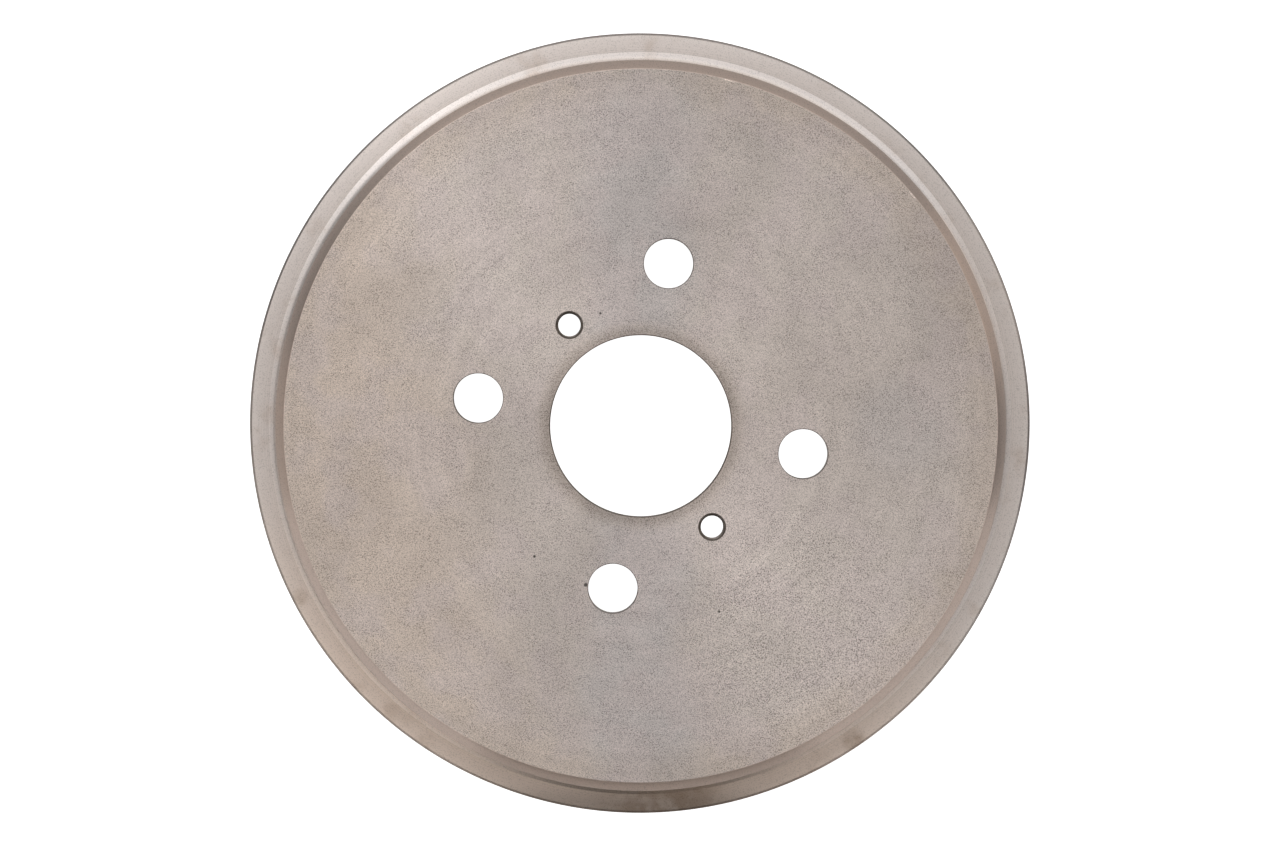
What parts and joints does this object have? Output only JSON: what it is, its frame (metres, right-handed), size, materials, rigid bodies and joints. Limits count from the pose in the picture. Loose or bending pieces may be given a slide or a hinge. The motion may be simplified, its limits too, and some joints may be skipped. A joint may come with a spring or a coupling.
{
  "type": "brake drum",
  "caption": "Cast-iron rear brake drum: flat machined wheel face with hub bore, stud holes and tapped jacking holes, friction surface inside, flange round the open rim.",
  "frame": {"origin": "centre of the hub bore, on the plane where the inside of the web seats on the hub", "axes": "+Z along the drum's axis, out through the wheel face; +X and +Y through stud holes"},
  "size_m": [0.2432, 0.2432, 0.055],
  "materials": {
    "cast_iron": "fine-turned grey iron with dark graphite speckle and light brown staining"
  },
  "bodies": {
    "root": {"drum": "cast_iron"}
  },
  "joints": []
}
